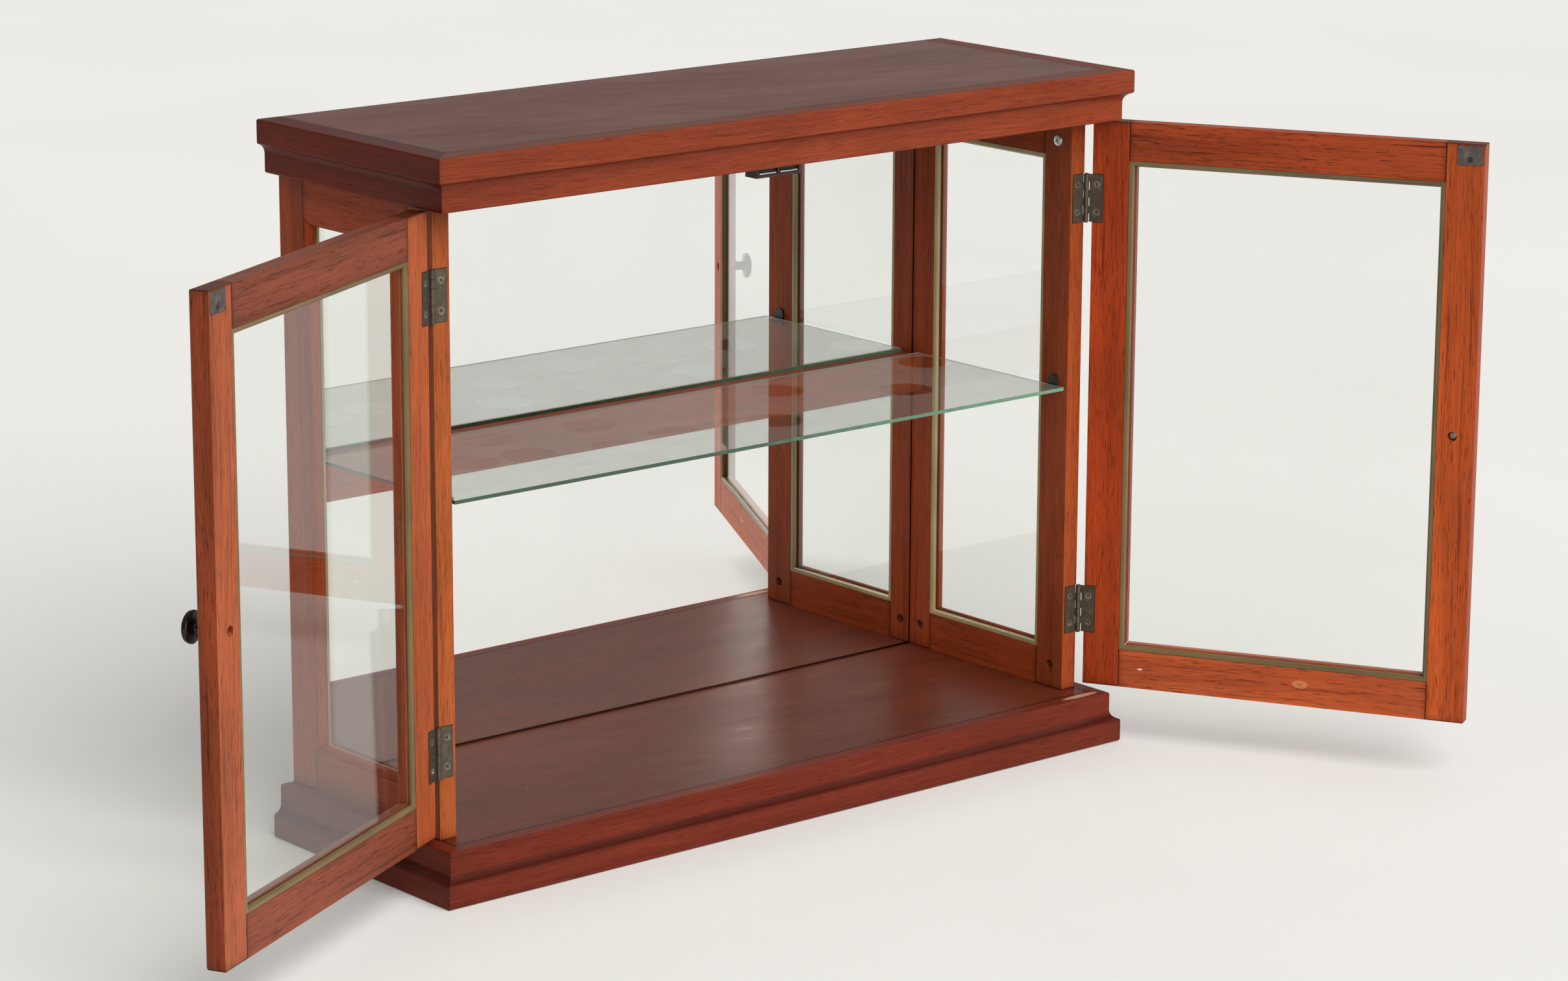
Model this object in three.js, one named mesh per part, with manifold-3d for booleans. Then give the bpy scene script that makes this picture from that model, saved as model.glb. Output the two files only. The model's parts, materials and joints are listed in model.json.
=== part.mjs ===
// Tabletop display case: a glazed wooden case with two hinged doors, a mirror back and one glass shelf.
// Units are millimetres, +Z is up and +Y points to the back. The origin lies on the table, in the middle of
// the front base moulding's underside. Each mesh is one physical piece.
import * as THREE from "three";
import { mergeVertices } from "three/addons/utils/BufferGeometryUtils.js";
import Module from "manifold-3d";

const wasm = await Module();
wasm.setup();

// ---- Driving sizes: the whole case ----
const caseWidth = 700; // over the top and base mouldings
const caseDepth = 235;
const caseHeight = 570.5;

// ---- Mouldings, the same section at the base and, upside down, at the top ----
const mouldingHeight = 42;
const mouldingThickness = 20; // at its widest band
const mouldingBand = 19.2; // height of the widest band
const coveHeight = 7.5;
const coveDepth = 6.8; // the narrow band stands this far behind the wide one
const mouldingRound = 1.6; // radius on its long edges

// ---- Panels ----
const panelThickness = 12; // top, ceiling and floor panels
const rearRailThickness = 12;
const mirrorThickness = 3;
const backThickness = 2.5;
const mirrorRebate = 5.5; // depth of the step in the rear stiles that takes the mirror
const panelGap = 0.15; // round a panel laid into its mouldings

// ---- Glazed frames: the two sides and the two doors ----
const sideOverJoint = 0.7; // a side's outer face covers the joint between panel and moulding
const sideSetback = 36.8; // from the case's front to the side's front edge
const sideThickness = 15;
const doorThickness = 17;
const stileWidth = 31;
const railWidth = 32;
const lipWidth = 5.5; // the moulded lip that holds the glass from outside
const lipStep = 0.9; // the lip's quirk, below the outer face
const rebateDepth = 7; // from the inner face down to the lip
const glassThickness = 3;
const beadWidth = 4;
const jointGap = 0.25; // the line at every glued or loose fit
const doorEdgeRound = 3.2;
const doorEdgeStep = 0.8;

// ---- Doors ----
const doorGapTop = 1.8;
const doorGapBottom = 4.3;
const doorGapCentre = 1.3; // between the two closed doors
const leftDoorOpening = 152.3; // degrees from closed, as it stands
const rightDoorOpening = 118.7;

// ---- Butt hinges ----
const hingeHeight = 40;
const hingeReach = 14; // from the pin to the end of a leaf
const hingeFromDoorEnd = 65; // hinge middle to the door's top or bottom end
const leafThickness = 1.2;
const leafProud = 0.4; // how far a leaf stands out of its mortise
const mortiseGap = 0.45;
const knuckleRadius = 2.2;
const knuckleCount = 6;
const knuckleGap = 0.25;
const pinRadius = 1.05;
const pinClearance = 0.15;
const pinHeadRadius = 1.7;
const pinHeadHeight = 0.7;
const pinOutset = 1.4; // from the side's outer face to the pin's axis
const pinForward = 1.2; // from a leaf's wooden face to the pin's axis
const pinToDoorEdge = 4.8;
const leafScrewRadius = 1.6;
const leafScrewHeadRadius = 3.1;
const leafScrewSpacing = 23; // between a leaf's two screws
const leafScrewFromPin = 8.6;

// ---- Shelf and its supports ----
const shelfUnderside = 301.1; // height above the table
const shelfThickness = 3;
const shelfSideGap = 3;
const shelfFrontInset = 0.7; // behind the sides' front edges
const shelfRearGap = 10.5; // in front of the mirror
const shelfRailHeight = 32; // the wooden rail under the shelf's rear edge
const shelfRailThickness = 16;
const supportWidth = 11;
const supportPlate = 1.5;
const supportRise = 9; // above the shelf's top face
const supportLedge = 10;
const supportPinRadius = 2.5;
const supportPinLength = 7;
const supportPinClearance = 0.15;
const supportPinAboveLedge = 6.5;
const shelfLift = 0.1; // clearance between a support's ledge and the shelf

// ---- Fastenings seen on the sides' inner faces ----
const fixingRadius = 4;
const fixingDepth = 8;
const fixingFromEnd = 19.3; // above the floor and below the ceiling
const rearFixingFromBack = 18.3;

// ---- Knobs, strike plates and the double magnetic catch ----
const knobRadius = 12;
const knobHeight = 17.6;
const knobNeckRadius = 4.1;
const knobFootRadius = 6.5;
const knobScrewRadius = 1.7;
const knobScrewDepth = 10;
const knobCounterboreRadius = 4;
const knobCounterboreDepth = 6;
const knobShankRadius = 2.2;
const strikeWidth = 21.4;
const strikeHeight = 15.8;
const strikeThickness = 1.2;
const strikeFromCorner = 1.65;
const strikeProud = 0.2;
const strikeCornerRadius = 2;
const strikeScrewDrop = 3.6; // its screw, below the plate's middle
const catchWidth = 45;
const catchHeight = 12.5;
const catchDepth = 14;
const catchGap = 0.4; // between the catch and a closed door's strike plate
const catchWall = 2.2;
const catchPocketDepth = 11;

// ---- Sizes that follow ----
const bodyHeight = caseHeight - 2 * mouldingHeight; // floor to ceiling
const floorHeight = mouldingHeight;
const ceilingHeight = caseHeight - mouldingHeight;
const sideOuter = caseWidth / 2 - mouldingThickness + sideOverJoint;
const sideInner = sideOuter - sideThickness;
const sideDepth = caseDepth - sideSetback;
const sideBottom = mouldingHeight + panelGap;
const sideHeight = bodyHeight - 2 * panelGap;
const hollowHeight = mouldingHeight - panelThickness;
const pinX = sideOuter + pinOutset;
const pinY = sideSetback - pinForward;
const doorWidth = pinX - pinToDoorEdge - doorGapCentre / 2;
const doorHeight = bodyHeight - doorGapTop - doorGapBottom;
const doorBottom = floorHeight + doorGapBottom;
const mirrorFront = caseDepth - mirrorThickness - backThickness - panelGap;
const shelfTop = shelfUnderside + shelfThickness;
const frontFixing = stileWidth / 2; // from the side's front edge

// ---- Materials ----
const wood = (name, color, roughness = 0.45) =>
  new THREE.MeshStandardMaterial({ name, color, roughness, metalness: 0 });
const frameWood = wood("frame_wood", 0x8f452e);
const mouldingWood = wood("moulding_wood", 0x8a4030);
const veneer = wood("veneer", 0x5f3a34, 0.35);
const backing = wood("backing_board", 0x8a6a4c, 0.8);
const clearGlass = new THREE.MeshStandardMaterial({
  name: "glass",
  color: 0xd8e4dc,
  roughness: 0.05,
  metalness: 0,
  transparent: true,
  opacity: 0.35,
});
const mirrorGlass = new THREE.MeshStandardMaterial({
  name: "mirror",
  color: 0xe4e6e2,
  roughness: 0.03,
  metalness: 1,
});
const beadPlastic = wood("bead_plastic", 0x8c7341, 0.35);
const hingeMetal = new THREE.MeshStandardMaterial({
  name: "hinge_metal",
  color: 0x645f50,
  roughness: 0.4,
  metalness: 1,
});
const bronze = new THREE.MeshStandardMaterial({
  name: "dark_bronze",
  color: 0x322a28,
  roughness: 0.3,
  metalness: 1,
});
const supportMetal = new THREE.MeshStandardMaterial({
  name: "support_metal",
  color: 0x4a4a48,
  roughness: 0.4,
  metalness: 1,
});
const catchPlastic = wood("catch_plastic", 0x3a1c16, 0.5);

// ---- Solid helpers ----
const meshTolerance = 0.004; // slivers thinner than this are merged away

function solidOf(geometry) {
  const bare = geometry.clone();
  bare.deleteAttribute("normal");
  bare.deleteAttribute("uv");
  const merged = mergeVertices(bare, 1e-4);
  return new wasm.Manifold(
    new wasm.Mesh({
      numProp: 3,
      vertProperties: new Float32Array(merged.attributes.position.array),
      triVerts: new Uint32Array(merged.index.array),
    }),
  );
}

function geometryOf(solid) {
  const mesh = solid.simplify(meshTolerance).getMesh();
  const positions = new THREE.BufferAttribute(mesh.vertProperties, mesh.numProp);
  const shared = new THREE.BufferGeometry().setAttribute("position", positions);
  shared.setIndex(new THREE.BufferAttribute(mesh.triVerts, 1));
  const faceted = shared.toNonIndexed();
  faceted.computeVertexNormals();
  return faceted;
}

// A block between two opposite corners.
function block([x0, y0, z0], [x1, y1, z1]) {
  const size = new THREE.BoxGeometry(x1 - x0, y1 - y0, z1 - z0);
  return solidOf(size.translate((x0 + x1) / 2, (y0 + y1) / 2, (z0 + z1) / 2));
}

// A rod along +Z from height z0 to z1.
function rod(radius, x, y, z0, z1, sides = 24) {
  const cylinder = new THREE.CylinderGeometry(radius, radius, z1 - z0, sides);
  return solidOf(cylinder.rotateX(Math.PI / 2).translate(x, y, (z0 + z1) / 2));
}

// A prism along +Z whose section is a closed list of points.
function prism(points, length) {
  const shape = new THREE.Shape(points);
  const geometry = new THREE.ExtrudeGeometry(shape, { depth: length, bevelEnabled: false });
  return geometry;
}

// A bar along +Z whose ends are mitred: each end is drawn back by the section's x where its flag is 1.
function mitredBar(points, length, startMitre, endMitre) {
  const geometry = prism(points, length);
  const position = geometry.attributes.position;
  for (let i = 0; i < position.count; i++) {
    const inward = Math.max(0, position.getX(i));
    const atEnd = position.getZ(i) > length / 2;
    position.setZ(i, atEnd ? length - endMitre * inward : startMitre * inward);
  }
  return solidOf(geometry);
}

// Points on an arc, ends included.
function arc(cx, cy, rx, ry, fromDegrees, toDegrees, steps) {
  return Array.from({ length: steps + 1 }, (_, i) => {
    const angle = THREE.MathUtils.degToRad(fromDegrees + ((toDegrees - fromDegrees) * i) / steps);
    return new THREE.Vector2(cx + rx * Math.cos(angle), cy + ry * Math.sin(angle));
  });
}
const point = (x, y) => new THREE.Vector2(x, y);

// A rectangular ring with mitred corners. Its section: x inward from the outer edge, y the height.
function rectangularRing(halfWidth, halfHeight, section) {
  const half = Math.min(halfWidth, halfHeight);
  const profile = section.map(({ x, y }) => point((half - x) * Math.SQRT2, y));
  profile.reverse();
  const geometry = new THREE.LatheGeometry([...profile, profile[0]], 4, Math.PI / 4);
  const position = geometry.attributes.position;
  for (let i = 0; i < position.count; i++) {
    position.setX(i, position.getX(i) + Math.sign(position.getX(i)) * (halfWidth - half));
    position.setZ(i, position.getZ(i) + Math.sign(position.getZ(i)) * (halfHeight - half));
  }
  return alongNegativeY(solidOf(geometry));
}

// Turns that lay a solid another way: each lists where the old x, y and z axes point afterwards.
const turned = (solid, x, y, z) => solid.transform([...x, 0, ...y, 0, ...z, 0, 0, 0, 0, 1]);
const alongX = (solid) => turned(solid, [0, 1, 0], [0, 0, 1], [1, 0, 0]);
const alongNegativeY = (solid) => turned(solid, [1, 0, 0], [0, 0, 1], [0, -1, 0]);
const mirroredX = (solid, width = 0) => solid.mirror([1, 0, 0]).translate([width, 0, 0]);
const mirroredY = (solid, height = 0) => solid.mirror([0, 1, 0]).translate([0, height, 0]);
const without = (solid, cuts) => cuts.reduce((left, cut) => left.subtract(cut), solid);
const joined = (solids) => solids.reduce((sum, solid) => sum.add(solid));

// ---- The scene graph ----
const root = new THREE.Group();
root.name = "tabletop_display_case";
const caseGroup = new THREE.Group(); // its y runs from the case's front
caseGroup.position.y = -mouldingThickness / 2;
root.add(caseGroup);

function addPiece(parent, name, solid, material) {
  const mesh = new THREE.Mesh(geometryOf(solid), material);
  mesh.name = name;
  parent.add(mesh);
}

function childGroup(parent, x, y, z) {
  const group = new THREE.Group();
  group.position.set(x, y, z);
  parent.add(group);
  return group;
}

// Stands a frame up: its y goes to +Z, and its x and z lie level, turned by the heading.
function standingGroup(parent, x, y, z, heading) {
  const group = childGroup(parent, x, y, z);
  group.rotation.set(Math.PI / 2, 0, heading, "ZYX");
  return group;
}

// ---- Top and base mouldings ----
// Section: x is the distance inward from the widest face, y the height above its outer long edge.
function mouldingSection() {
  const r = mouldingRound;
  const coveTop = mouldingBand + coveHeight;
  return [
    ...arc(r, r, r, r, 270, 180, 4),
    ...arc(r, mouldingBand - r, r, r, 180, 110, 4),
    ...arc(0, coveTop, coveDepth, coveHeight, 290, 360, 8),
    ...arc(coveDepth + r, mouldingHeight - r, r, r, 180, 90, 4),
    point(mouldingThickness, mouldingHeight),
    point(mouldingThickness, 0),
  ];
}

function addMouldings(prefix, place) {
  const section = mouldingSection();
  const frontBar = mitredBar(section, caseWidth - panelGap, 1, 1);
  const sideBar = mitredBar(section, caseDepth - panelGap / 2, 0, 1);
  const front = alongX(frontBar).translate([-(caseWidth - panelGap) / 2, 0, 0]);
  const left = alongNegativeY(sideBar).translate([-caseWidth / 2, caseDepth, 0]);
  addPiece(caseGroup, prefix + "_moulding_front", place(front), mouldingWood);
  addPiece(caseGroup, prefix + "_moulding_left", place(left), mouldingWood);
  addPiece(caseGroup, prefix + "_moulding_right", place(mirroredX(left)), mouldingWood);
}
addMouldings("base", (solid) => solid);
addMouldings("top", (solid) => solid.mirror([0, 0, 1]).translate([0, 0, caseHeight]));

// ---- Panels and rear rails, laid between the mouldings ----
const panelHalf = caseWidth / 2 - mouldingThickness - panelGap;
const panelFront = mouldingThickness + panelGap;
const panelAt = (z0, z1) => block([-panelHalf, panelFront, z0], [panelHalf, caseDepth, z1]);
const railAt = (z0, z1) =>
  block([-panelHalf, caseDepth - rearRailThickness, z0], [panelHalf, caseDepth, z1]);
const ceilingTop = ceilingHeight + panelThickness;
const topUnderside = caseHeight - panelThickness;
addPiece(caseGroup, "floor_panel", panelAt(hollowHeight, floorHeight), veneer);
addPiece(caseGroup, "ceiling_panel", panelAt(ceilingHeight, ceilingTop), veneer);
addPiece(caseGroup, "top_panel", panelAt(topUnderside, caseHeight), veneer);
addPiece(caseGroup, "base_rear_rail", railAt(0, hollowHeight), mouldingWood);
addPiece(caseGroup, "top_rear_rail", railAt(ceilingTop, topUnderside), mouldingWood);

// ---- A glazed frame ----
// Its own axes: x from the near stile's edge, y up, z from the outer face to the inner face.
// The near stile is the front stile of a side and the hinge stile of a door.
function glazedFrame(width, height, thickness) {
  const lipTop = thickness - rebateDepth;
  const round = lipWidth - lipStep;
  const lip = [
    point(-1, lipStep),
    ...arc(lipWidth - round, lipStep + round, round, round, 270, 360, 6),
    point(lipWidth, lipTop),
    point(-1, lipTop),
  ];
  const openHeight = height - 2 * railWidth;
  const openWidth = width - 2 * stileWidth;
  const stileLip = alongNegativeY(mitredBar(lip, openHeight - 2 * jointGap, 1, 1))
    .translate([stileWidth, height - railWidth - jointGap, 0]);
  const railLip = alongX(mitredBar(lip, openWidth - 2 * jointGap, 1, 1))
    .translate([stileWidth + jointGap, railWidth, 0]);
  const near = block([0, 0, 0], [stileWidth, height, thickness]).add(stileLip);
  const railEnd = stileWidth + jointGap;
  const bottom = block([railEnd, 0, 0], [width - railEnd, railWidth, thickness]).add(railLip);

  const glassInset = stileWidth + 2 * jointGap;
  const glassSill = railWidth + 2 * jointGap;
  const glassBack = lipTop + jointGap;
  const glass = block(
    [glassInset, glassSill, glassBack],
    [width - glassInset, height - glassSill, glassBack + glassThickness],
  );
  const beadHeight = rebateDepth - glassThickness - 3 * jointGap;
  const beadRound = beadWidth / 2;
  const bead = [
    point(0, 0),
    point(beadWidth, 0),
    ...arc(beadWidth - beadRound, beadHeight - beadRound, beadRound, beadRound, 0, 90, 5),
    point(0, beadHeight),
  ];
  const retainer = rectangularRing(openWidth / 2 - jointGap, openHeight / 2 - jointGap, bead)
    .translate([width / 2, height / 2, glassBack + glassThickness + jointGap]);
  return {
    near,
    far: mirroredX(near, width),
    bottom,
    top: mirroredY(bottom, height),
    glass,
    retainer,
  };
}

// What a moulding cutter takes off a door's outer edges: a small step and a quarter round.
function doorEdgeCutter(width, height) {
  const over = 1; // the cutter's overhang past the door's edges
  const step = over + doorEdgeStep;
  const centre = over + doorEdgeRound;
  const edge = centre + doorEdgeStep;
  const section = [
    point(0, 0),
    point(edge, 0),
    point(edge, step),
    ...arc(centre, edge, doorEdgeRound, doorEdgeRound, 270, 180, 6),
    point(0, edge),
  ];
  return rectangularRing(width / 2 + over, height / 2 + over, section)
    .translate([width / 2, height / 2, -over]);
}

// ---- Heights that the sides, doors, hinges and supports share ----
const hingeHeights = {
  upper: ceilingHeight - doorGapTop - hingeFromDoorEnd,
  lower: doorBottom + hingeFromDoorEnd,
};
const ledgeTop = shelfUnderside - shelfLift;
const supportPinHeight = ledgeTop + supportPinAboveLedge;
const mortiseDepth = leafThickness - leafProud + mortiseGap;

// ---- The two sides ----
function sidePieces() {
  const frame = glazedFrame(sideDepth, sideHeight, sideThickness);
  const rearFixing = sideDepth - rearFixingFromBack;
  const innerHole = (radius, depth, x, y) =>
    rod(radius, x, y, sideThickness - depth, sideThickness + 1);
  const fixingHolesAt = (x) => [
    innerHole(fixingRadius, fixingDepth, x, fixingFromEnd),
    innerHole(fixingRadius, fixingDepth, x, sideHeight - fixingFromEnd),
  ];
  const supportHole = innerHole(
    supportPinRadius + supportPinClearance,
    supportPinLength + 2 * jointGap,
    frontFixing,
    supportPinHeight - sideBottom,
  );
  const mortises = Object.values(hingeHeights).flatMap((height) => {
    const middle = height - sideBottom;
    const half = hingeHeight / 2 + mortiseGap;
    const leafEnd = hingeReach - pinOutset + mortiseGap;
    const recess = block([-1, middle - half, -1], [mortiseDepth, middle + half, leafEnd]);
    const barrel = rod(knuckleRadius + mortiseGap, 0, 0, -half, half);
    return [recess, alongNegativeY(barrel).translate([-pinForward, middle, -pinOutset])];
  });
  const rebate = block(
    [mirrorFront - panelGap - sideSetback, -1, sideThickness - mirrorRebate],
    [sideDepth + 1, sideHeight + 1, sideThickness + 1],
  );
  return {
    front_stile: [
      without(frame.near, [...fixingHolesAt(frontFixing), supportHole, ...mortises]),
      frameWood,
    ],
    rear_stile: [without(frame.far, [...fixingHolesAt(rearFixing), rebate]), frameWood],
    top_rail: [frame.top, frameWood],
    bottom_rail: [frame.bottom, frameWood],
    glass: [frame.glass, clearGlass],
    retainer: [frame.retainer, beadPlastic],
  };
}

const leftSide = standingGroup(caseGroup, -sideOuter, sideSetback, sideBottom, Math.PI / 2);
const rightSide = standingGroup(caseGroup, sideOuter, caseDepth, sideBottom, -Math.PI / 2);
for (const [piece, [solid, material]] of Object.entries(sidePieces())) {
  addPiece(leftSide, "left_side_" + piece, solid, material);
  addPiece(rightSide, "right_side_" + piece, mirroredX(solid, sideDepth), material);
}

// ---- Mirror, back board and shelf ----
const mirrorHalf = sideInner + mirrorRebate - 2 * panelGap;
const backFront = mirrorFront + mirrorThickness + panelGap;
addPiece(
  caseGroup,
  "mirror",
  block(
    [-mirrorHalf, mirrorFront, floorHeight + panelGap],
    [mirrorHalf, mirrorFront + mirrorThickness, ceilingHeight - panelGap],
  ),
  mirrorGlass,
);
addPiece(
  caseGroup,
  "back_board",
  block(
    [-mirrorHalf, backFront, floorHeight + panelGap],
    [mirrorHalf, caseDepth, ceilingHeight - panelGap],
  ),
  backing,
);
const shelfHalf = sideInner - shelfSideGap;
addPiece(
  caseGroup,
  "glass_shelf",
  block(
    [-shelfHalf, sideSetback + shelfFrontInset, shelfUnderside],
    [shelfHalf, mirrorFront - shelfRearGap, shelfTop],
  ),
  clearGlass,
);

// ---- Shelf supports: a plate with a round top, a ledge and a pin into the stile ----
function supportSolid() {
  const half = supportWidth / 2;
  const plateTop = shelfTop + supportRise;
  const ledgeBottom = ledgeTop - supportPlate;
  const ledgeEnd = supportPlate + supportLedge;
  const crossRod = (radius, x0, x1, z) => alongX(rod(radius, 0, 0, x0, x1)).translate([0, 0, z]);
  return joined([
    block([0, -half, ledgeBottom], [supportPlate, half, plateTop - half]),
    crossRod(half, 0, supportPlate, plateTop - half),
    block([0, -half, ledgeBottom], [ledgeEnd - half, half, ledgeTop]),
    rod(half, ledgeEnd - half, 0, ledgeBottom, ledgeTop).trimByPlane([1, 0, 0], 0),
    crossRod(supportPinRadius, -supportPinLength, supportPlate / 2, supportPinHeight),
  ]);
}
const support = supportSolid().translate([-sideInner + panelGap, sideSetback + frontFixing, 0]);
addPiece(caseGroup, "left_shelf_support", support, supportMetal);
addPiece(caseGroup, "right_shelf_support", mirroredX(support), supportMetal);

// ---- The rail under the shelf's rear edge, between the rear stiles and against the mirror ----
const shelfRailHalf = sideInner - jointGap;
const shelfRailBack = mirrorFront - panelGap;
addPiece(
  caseGroup,
  "back_shelf_rail",
  block(
    [-shelfRailHalf, shelfRailBack - shelfRailThickness, ledgeTop - shelfRailHeight],
    [shelfRailHalf, shelfRailBack, ledgeTop],
  ),
  frameWood,
);

// ---- Double magnetic catch under the ceiling ----
const closedDoorFace = pinY - pinForward;
function catchSolid() {
  const half = catchWidth / 2;
  const front = closedDoorFace + strikeProud + catchGap;
  const top = ceilingHeight - panelGap;
  const bottom = top - catchHeight;
  const pocket = block(
    [catchWall / 2, front - 1, bottom + catchWall],
    [half - catchWall, front + catchPocketDepth, top - catchWall],
  );
  const housing = block([-half, front, bottom], [half, front + catchDepth, top]);
  return without(housing, [pocket, mirroredX(pocket)]);
}
addPiece(caseGroup, "magnetic_catch", catchSolid(), catchPlastic);

// ---- Butt hinges ----
// A leaf's own axes: x from the pin along the leaf, y into the wood, z up from the hinge's middle.
function leafSolid(firstKnuckle) {
  const half = hingeHeight / 2;
  const plateStart = knuckleRadius + 2 * pinClearance;
  const face = pinForward - leafProud;
  const pitch = hingeHeight / knuckleCount;
  const plate = block([plateStart, face, -half], [hingeReach, face + leafThickness, half]);
  const barrels = [];
  for (let i = firstKnuckle; i < knuckleCount; i += 2) {
    const z1 = half - i * pitch - (i ? knuckleGap / 2 : 0);
    const z0 = half - (i + 1) * pitch + (i + 1 < knuckleCount ? knuckleGap / 2 : 0);
    barrels.push(rod(knuckleRadius, 0, 0, z0, z1));
    barrels.push(block([0, face, z0], [plateStart + leafThickness, face + leafThickness, z1]));
  }
  const screwHole = (z) =>
    solidOf(
      new THREE.CylinderGeometry(leafScrewRadius, leafScrewHeadRadius, leafThickness + 0.02, 24)
        .translate(leafScrewFromPin, face + leafThickness / 2, z),
    );
  const bore = rod(pinRadius + pinClearance, 0, 0, -half - 1, half + 1);
  const holes = [screwHole(-leafScrewSpacing / 2), screwHole(leafScrewSpacing / 2)];
  return without(joined([plate, ...barrels]), [bore, ...holes]);
}

function pinSolid() {
  const neck = hingeHeight / 2 + pinClearance;
  const end = neck + pinHeadHeight;
  const upper = [point(pinRadius, neck), point(pinHeadRadius, neck), point(pinHeadRadius, end - 0.3)];
  const lower = upper.map(({ x, y }) => point(x, -y)).reverse();
  const profile = [point(0, -end), ...lower, ...upper, point(0, end)];
  return solidOf(new THREE.LatheGeometry(profile, 20).rotateX(Math.PI / 2));
}

// ---- Knob ----
// Lathe profile: x is the radius, y the height above the door's outer face.
function knobSolid() {
  const rim = knobHeight - 6;
  const profile = [
    point(0, knobScrewDepth),
    point(knobScrewRadius, knobScrewDepth),
    point(knobScrewRadius, jointGap),
    point(knobFootRadius, jointGap),
    point(knobFootRadius, 1.6),
    ...arc(knobFootRadius, 4.2, knobFootRadius - knobNeckRadius, 2.6, 270, 180, 4),
    point(knobNeckRadius, rim - 3.4),
    ...arc(knobRadius - 1, rim - 3.4, knobRadius - 1 - knobNeckRadius, 2.4, 180, 90, 5),
    point(knobRadius, rim),
    point(knobRadius, rim + 1.2),
    point(knobRadius - 0.8, rim + 1.7),
    point(knobRadius - 0.8, rim + 2.2),
    ...arc(0, rim + 2.2, knobRadius - 0.4, knobHeight - rim - 2.2, 0, 90, 8),
  ];
  return solidOf(new THREE.LatheGeometry(profile, 32));
}

// ---- The two doors ----
const knobFromFreeEdge = (stileWidth + lipWidth) / 2;
function doorPieces() {
  const frame = glazedFrame(doorWidth, doorHeight, doorThickness);
  const edges = doorEdgeCutter(doorWidth, doorHeight);
  const leafEnd = hingeReach - pinToDoorEdge + mortiseGap;
  const half = hingeHeight / 2 + mortiseGap;
  const mortises = Object.values(hingeHeights).map((height) =>
    block(
      [-1, height - doorBottom - half, doorThickness - mortiseDepth],
      [leafEnd, height - doorBottom + half, doorThickness + 1],
    ),
  );
  const knobX = doorWidth - knobFromFreeEdge;
  const knobY = doorHeight / 2;
  const counterboreFloor = doorThickness - knobCounterboreDepth;
  const knobHoles = [
    rod(knobCounterboreRadius, knobX, knobY, counterboreFloor, doorThickness + 1),
    rod(knobShankRadius, knobX, knobY, -1, doorThickness),
  ];
  const strikeX = doorWidth - strikeFromCorner - strikeWidth / 2;
  const strikeY = doorHeight - strikeFromCorner - strikeHeight / 2;
  const strikeFloor = doorThickness - strikeThickness + strikeProud;
  const recess = plateSolid(strikeWidth + 2 * jointGap, strikeHeight + 2 * jointGap, strikeThickness + 1)
    .translate([strikeX, strikeY, strikeFloor - jointGap]);
  const strike = plateSolid(strikeWidth, strikeHeight, strikeThickness)
    .translate([strikeX, strikeY, strikeFloor])
    .subtract(rod(leafScrewRadius, strikeX, strikeY - strikeScrewDrop, 0, doorThickness + 1));
  const knob = turned(knobSolid(), [1, 0, 0], [0, 0, -1], [0, 1, 0]).translate([knobX, knobY, 0]);
  return {
    hinge_stile: [without(frame.near, [edges, ...mortises]), frameWood],
    free_stile: [without(frame.far, [edges, ...knobHoles, recess]), frameWood],
    top_rail: [frame.top.subtract(edges), frameWood],
    bottom_rail: [frame.bottom.subtract(edges), frameWood],
    glass: [frame.glass, clearGlass],
    retainer: [frame.retainer, beadPlastic],
    knob: [knob, bronze],
    strike_plate: [strike, hingeMetal],
  };
}

// A flat plate with round corners, centred on the z axis.
function plateSolid(width, height, thickness) {
  const r = strikeCornerRadius;
  const x = width / 2 - r;
  const y = height / 2 - r;
  const outline = [
    ...arc(x, y, r, r, 0, 90, 4),
    ...arc(-x, y, r, r, 90, 180, 4),
    ...arc(-x, -y, r, r, 180, 270, 4),
    ...arc(x, -y, r, r, 270, 360, 4),
  ];
  return solidOf(prism(outline, thickness));
}

const openings = { left: -leftDoorOpening, right: rightDoorOpening };
const doorSolids = doorPieces();
for (const [side, opening] of Object.entries(openings)) {
  const isRight = side === "right";
  const outward = isRight ? 1 : -1;
  const pivot = childGroup(caseGroup, outward * pinX, pinY, 0);
  pivot.rotation.z = THREE.MathUtils.degToRad(opening);
  const closedX = isRight ? -pinToDoorEdge : pinToDoorEdge + doorWidth;
  const outerFace = -pinForward - doorThickness;
  const door = standingGroup(pivot, closedX, outerFace, doorBottom, Math.PI);
  for (const [piece, [solid, material]] of Object.entries(doorSolids)) {
    const laid = isRight ? solid : mirroredX(solid, doorWidth);
    addPiece(door, side + "_door_" + piece, laid, material);
  }
  for (const [place, height] of Object.entries(hingeHeights)) {
    const prefix = side + "_" + place + "_hinge_";
    const towardMiddle = (leaf) => (isRight ? mirroredX(leaf) : leaf);
    const doorLeaf = mirroredY(towardMiddle(leafSolid(0))).translate([0, 0, height]);
    const caseLeaf = towardMiddle(leafSolid(1)).translate([outward * pinX, pinY, height]);
    const pin = pinSolid().translate([outward * pinX, pinY, height]);
    addPiece(pivot, prefix + "door_leaf", doorLeaf, hingeMetal);
    addPiece(caseGroup, prefix + "case_leaf", caseLeaf, hingeMetal);
    addPiece(caseGroup, prefix + "pin", pin, hingeMetal);
  }
}

export default root;
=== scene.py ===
import json
import math

import bpy
import numpy as np
from mathutils import Matrix, Vector

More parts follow.
